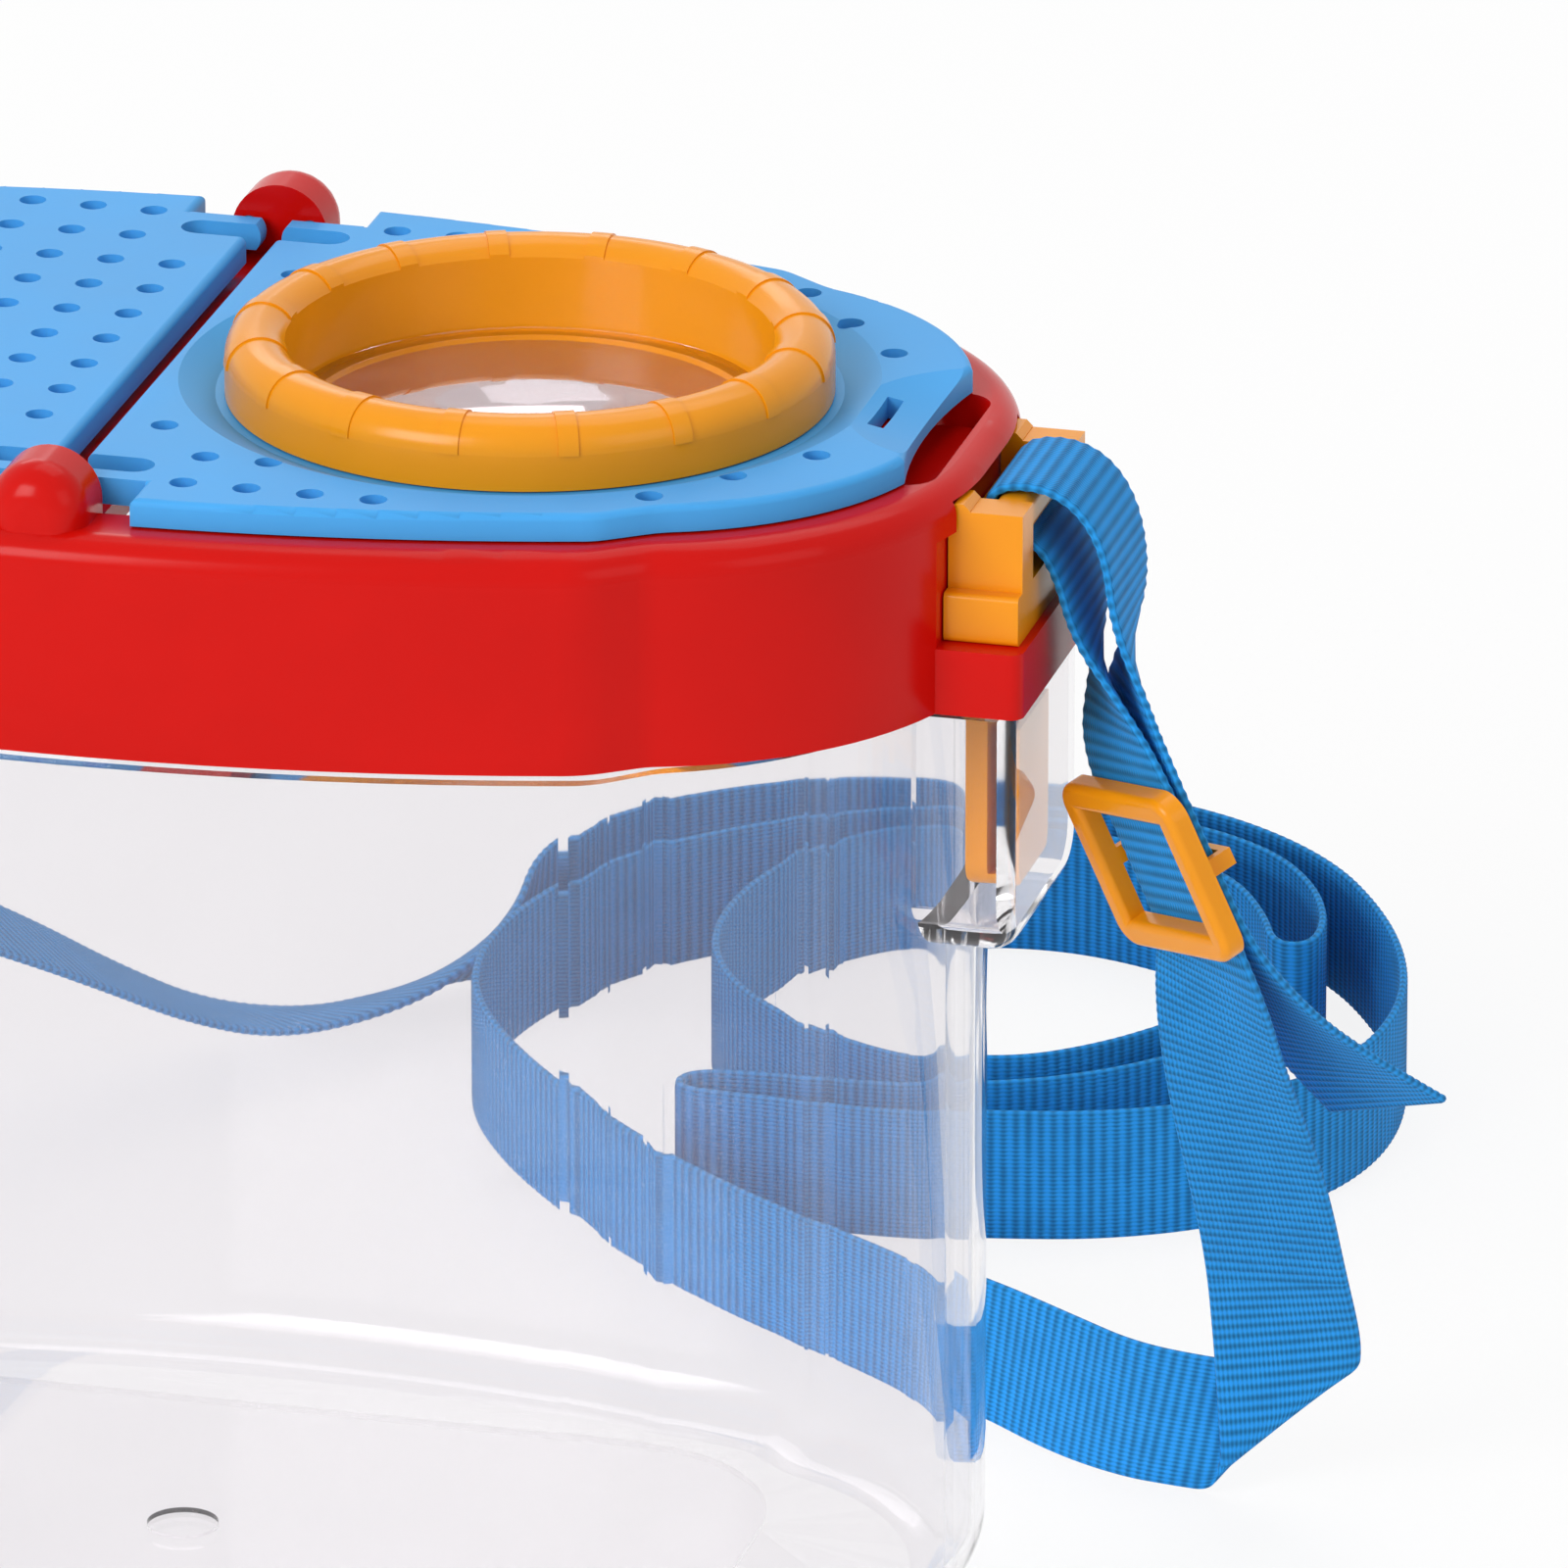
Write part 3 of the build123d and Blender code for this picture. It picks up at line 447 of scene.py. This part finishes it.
def spline_points(points, name):
    """Points along a smooth NURBS line with the given control points."""
    curve = bpy.data.curves.new(name, "CURVE")
    curve.dimensions = "3D"
    curve.resolution_u = spline_steps
    spline = curve.splines.new("NURBS")
    spline.points.add(len(points) - 1)
    for target, point in zip(spline.points, points):
        target.co = (*point, 1.0)
    spline.order_u = 3
    spline.use_endpoint_u = True
    holder = bpy.data.objects.new(name, curve)
    bpy.context.scene.collection.objects.link(holder)
    line = bpy.data.meshes.new_from_object(holder)
    found = np.array([vertex.co for vertex in line.vertices], float)
    bpy.data.meshes.remove(line)
    bpy.data.objects.remove(holder)
    bpy.data.curves.remove(curve)
    return found


def unit(rows):
    """Each row as a unit vector."""
    return rows / np.linalg.norm(rows, axis=1)[:, None]


def reached(line):
    """Length along the line up to each of its points."""
    return np.concatenate([[0.0], np.cumsum(np.linalg.norm(np.diff(line, axis=0), axis=1))])


def evenly(line, reach, spacing):
    """The line's values read at even steps of the length reached at each point."""
    steps = np.arange(0.0, reach[-1], spacing)
    columns = [np.interp(steps, reach, line[:, k]) for k in range(line.shape[1])]
    return np.stack(columns, axis=1), steps


def strap_section(width, thickness):
    """Outline across the webbing: (along the width, through the thickness) pairs, counter-clockwise."""
    round_edge = thickness / 2
    flat = width / 2 - round_edge
    outline = []
    for side, first_turn in ((1, -90), (-1, 90)):
        outline += [(x, -side * round_edge) for x in np.linspace(-side * flat, side * flat, face_points)]
        for turn in np.radians(np.linspace(first_turn, first_turn + 180, edge_points)[1:-1]):
            outline.append((side * flat + round_edge * math.cos(turn), round_edge * math.sin(turn)))
    return np.array(outline)


class BUGJAR_OT_clear_pieces(bpy.types.Operator):
    """Give the jar and the lens their clear finish"""

    bl_idname = "bugjar.clear_pieces"
    bl_label = "Clear jar and lens"

    def execute(self, context):
        finish = context.scene.jar_finish
        jar = clear_plastic("clear_plastic", finish.clear, *jar_surface)
        lens = clear_plastic("polished_lens", lens_tint, *lens_surface)
        for node in clear_nodes:
            dress(node, jar)
        for node in lens_nodes:
            dress(node, lens)
        return {"FINISHED"}


class BUGJAR_OT_coloured_pieces(bpy.types.Operator):
    """Give the frame, the doors and the yellow fittings their moulded finish"""

    bl_idname = "bugjar.coloured_pieces"
    bl_label = "Coloured mouldings"

    def execute(self, context):
        finish = context.scene.jar_finish
        groups = (
            (red_nodes, moulded_plastic("red_plastic", finish.red, *red_surface)),
            (blue_nodes, moulded_plastic("blue_plastic", finish.blue, *blue_surface)),
            (yellow_nodes, moulded_plastic("yellow_plastic", finish.yellow, *yellow_surface)),
        )
        for nodes, material in groups:
            for node in nodes:
                dress(node, material)
        return {"FINISHED"}


class BUGJAR_OT_strap(bpy.types.Operator):
    """Weave the strap along its route"""

    bl_idname = "bugjar.strap"
    bl_label = "Webbing strap"

    def execute(self, context):
        sizes = context.scene.jar_strap
        middles = np.array([point for point, across in strap_route])
        across = np.array([across for point, across in strap_route])
        half = sizes.width / 2
        one_edge = spline_points(middles + across * half, "one_edge")
        other_edge = spline_points(middles - across * half, "other_edge")
        both = np.hstack([one_edge, other_edge])
        middle = (one_edge + other_edge) / 2
        reach = reached(middle)
        both, steps = evenly(both, reach, section_spacing)
        middle = (both[:, :3] + both[:, 3:]) / 2
        sideways = (both[:, :3] - both[:, 3:]) / 2
        stretch = np.linalg.norm(sideways, axis=1) / half
        heading = np.gradient(middle, axis=0)
        normal = unit(np.cross(heading, sideways))
        section = strap_section(sizes.width, sizes.thickness)
        folded = stretch > fold_stretch
        depth = np.where(folded, 0.0, rib_depth)
        crest = 1.0 - depth * (0.5 - 0.5 * np.cos(2 * math.pi * steps / sizes.rib_pitch))
        lead = np.where(folded, (reached(both[:, :3]) - reached(both[:, 3:])) / 2, 0.0)
        lead[folded] -= lead[folded][0]
        along = section[:, 0] / half
        through = section[:, 1]
        rings = (
            middle[:, None, :]
            + sideways[:, None, :] * along[None, :, None]
            + normal[:, None, :] * (crest[:, None] * through[None, :])[:, :, None]
        )
        count = len(section)
        vertices = rings.reshape(-1, 3)
        faces = []
        last = (len(steps) - 1) * count
        for low in range(0, last, count):
            for k in range(count):
                after = (k + 1) % count
                faces.append((low + k, low + after, low + count + after, low + count + k))
        faces.append(tuple(range(count - 1, -1, -1)))
        faces.append(tuple(range(last, last + count)))
        mesh = bpy.data.meshes.new("webbing_strap")
        mesh.from_pydata(vertices.tolist(), [], faces)
        layer = mesh.uv_layers.new(name="weave")
        corners = np.empty(len(mesh.loops), int)
        mesh.loops.foreach_get("vertex_index", corners)
        ring = corners // count
        place = corners % count
        weave = np.stack([steps[ring] + lead[ring] * along[place], section[place, 0]], axis=1)
        layer.data.foreach_set("uv", weave.astype(np.float32).ravel())
        mesh.polygons.foreach_set("use_smooth", np.ones(len(mesh.polygons), bool))
        mesh.update()
        strap = bpy.data.objects.new("webbing_strap", mesh)
        context.scene.collection.objects.link(strap)
        colour = context.scene.jar_finish.webbing
        mesh.materials.append(webbing_cloth("ribbed_webbing", colour, sizes.rib_pitch))
        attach(strap, "jar")
        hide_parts(*strap_nodes)
        return {"FINISHED"}


def sight(tree):
    """Socket that is 1 for rays that show: straight from the camera, through clear pieces or off gloss."""
    rays = tree.nodes.new("ShaderNodeLightPath")
    shown = rays.outputs["Is Camera Ray"]
    for name in ("Is Transmission Ray", "Is Glossy Ray"):
        either = tree.nodes.new("ShaderNodeMath")
        either.operation = "MAXIMUM"
        tree.links.new(shown, either.inputs[0])
        tree.links.new(rays.outputs[name], either.inputs[1])
        shown = either.outputs[0]
    return shown


def pale_floor():
    """Floor that shows nearly white and keeps a soft shadow."""
    nodes = Nodes("pale_floor")
    nodes.shader.inputs["Base Color"].default_value = (floor_grey, floor_grey, floor_grey, 1.0)
    nodes.shader.inputs["Roughness"].default_value = 0.9
    share = nodes.add("ShaderNodeMath", operation="MULTIPLY")
    share.inputs[1].default_value = floor_white_share
    nodes.link(sight(nodes.tree), share.inputs[0])
    white = nodes.add("ShaderNodeEmission")
    mix = nodes.add("ShaderNodeMixShader")
    nodes.link(share.outputs[0], mix.inputs["Fac"])
    nodes.link(nodes.shader.outputs["BSDF"], mix.inputs[1])
    nodes.link(white.outputs["Emission"], mix.inputs[2])
    nodes.link(mix.outputs["Shader"], nodes.tree.nodes["Material Output"].inputs["Surface"])
    return nodes.material


def soft_box(name, place, aim, width, height, power):
    """Rectangular area lamp at place, turned to aim."""
    lamp = bpy.data.lights.new(name, "AREA")
    lamp.shape = "RECTANGLE"
    lamp.size = width
    lamp.size_y = height
    lamp.energy = power
    holder = bpy.data.objects.new(name, lamp)
    holder.location = place
    holder.rotation_euler = (Vector(aim) - Vector(place)).to_track_quat("-Z", "Y").to_euler()
    bpy.context.scene.collection.objects.link(holder)


class BUGJAR_OT_stage(bpy.types.Operator):
    """Set the floor, the lamps and the camera"""

    bl_idname = "bugjar.stage"
    bl_label = "Stage and camera"

    def execute(self, context):
        scene = context.scene
        bpy.ops.object.select_all(action="DESELECT")
        bpy.ops.mesh.primitive_plane_add(size=floor_side, location=(0.0, 0.0, 0.0))
        floor = context.active_object
        floor.name = "floor"
        floor.data.materials.append(pale_floor())
        world = bpy.data.worlds.new("white_studio")
        world.use_nodes = True
        tree = world.node_tree
        background = tree.nodes["Background"]
        background.inputs["Color"].default_value = (1.0, 1.0, 1.0, 1.0)
        strength = tree.nodes.new("ShaderNodeMapRange")
        strength.inputs["To Min"].default_value = ambient
        strength.inputs["To Max"].default_value = 1.0
        tree.links.new(sight(tree), strength.inputs["Value"])
        tree.links.new(strength.outputs["Result"], background.inputs["Strength"])
        scene.world = world
        for lamp in lamps:
            soft_box(*lamp)
        camera = bpy.data.cameras.new("camera")
        camera.sensor_width = sensor_width
        camera.lens = pixels_per_metre * view_distance / picture_side * sensor_width
        camera.clip_end = view_reach
        holder = bpy.data.objects.new("camera", camera)
        azimuth = math.radians(view_azimuth)
        elevation = math.radians(view_elevation)
        back = Vector(
            (
                math.sin(azimuth) * math.cos(elevation),
                -math.cos(azimuth) * math.cos(elevation),
                math.sin(elevation),
            )
        )
        holder.location = Vector(view_middle) + back * view_distance
        holder.rotation_euler = (-back).to_track_quat("-Z", "Y").to_euler()
        scene.collection.objects.link(holder)
        scene.camera = holder
        scene.view_settings.view_transform = "Standard"
        return {"FINISHED"}


class BUGJAR_PT_panel(bpy.types.Panel):
    """Steps that dress the jar"""

    bl_label = "Bug jar"
    bl_idname = "BUGJAR_PT_panel"
    bl_space_type = "VIEW_3D"
    bl_region_type = "UI"
    bl_category = "Bug jar"

    def draw(self, context):
        for name in ("red", "blue", "yellow", "clear", "webbing"):
            self.layout.prop(context.scene.jar_finish, name)
        for name in ("width", "thickness", "rib_pitch"):
            self.layout.prop(context.scene.jar_strap, name)
        for step in steps_in_order:
            self.layout.operator(step.bl_idname)


steps_in_order = (
    BUGJAR_OT_stage,
    BUGJAR_OT_strap,
    BUGJAR_OT_clear_pieces,
    BUGJAR_OT_coloured_pieces,
)
classes = (JarFinish, JarStrap, *steps_in_order, BUGJAR_PT_panel)


def register():
    for item in classes:
        bpy.utils.register_class(item)
    bpy.types.Scene.jar_finish = PointerProperty(type=JarFinish)
    bpy.types.Scene.jar_strap = PointerProperty(type=JarStrap)


def unregister():
    del bpy.types.Scene.jar_strap
    del bpy.types.Scene.jar_finish
    for item in reversed(classes):
        bpy.utils.unregister_class(item)


def main():
    register()
    bpy.ops.bugjar.stage()
    bpy.ops.bugjar.strap()
    bpy.ops.bugjar.clear_pieces()
    bpy.ops.bugjar.coloured_pieces()


if __name__ == "__main__":
    main()
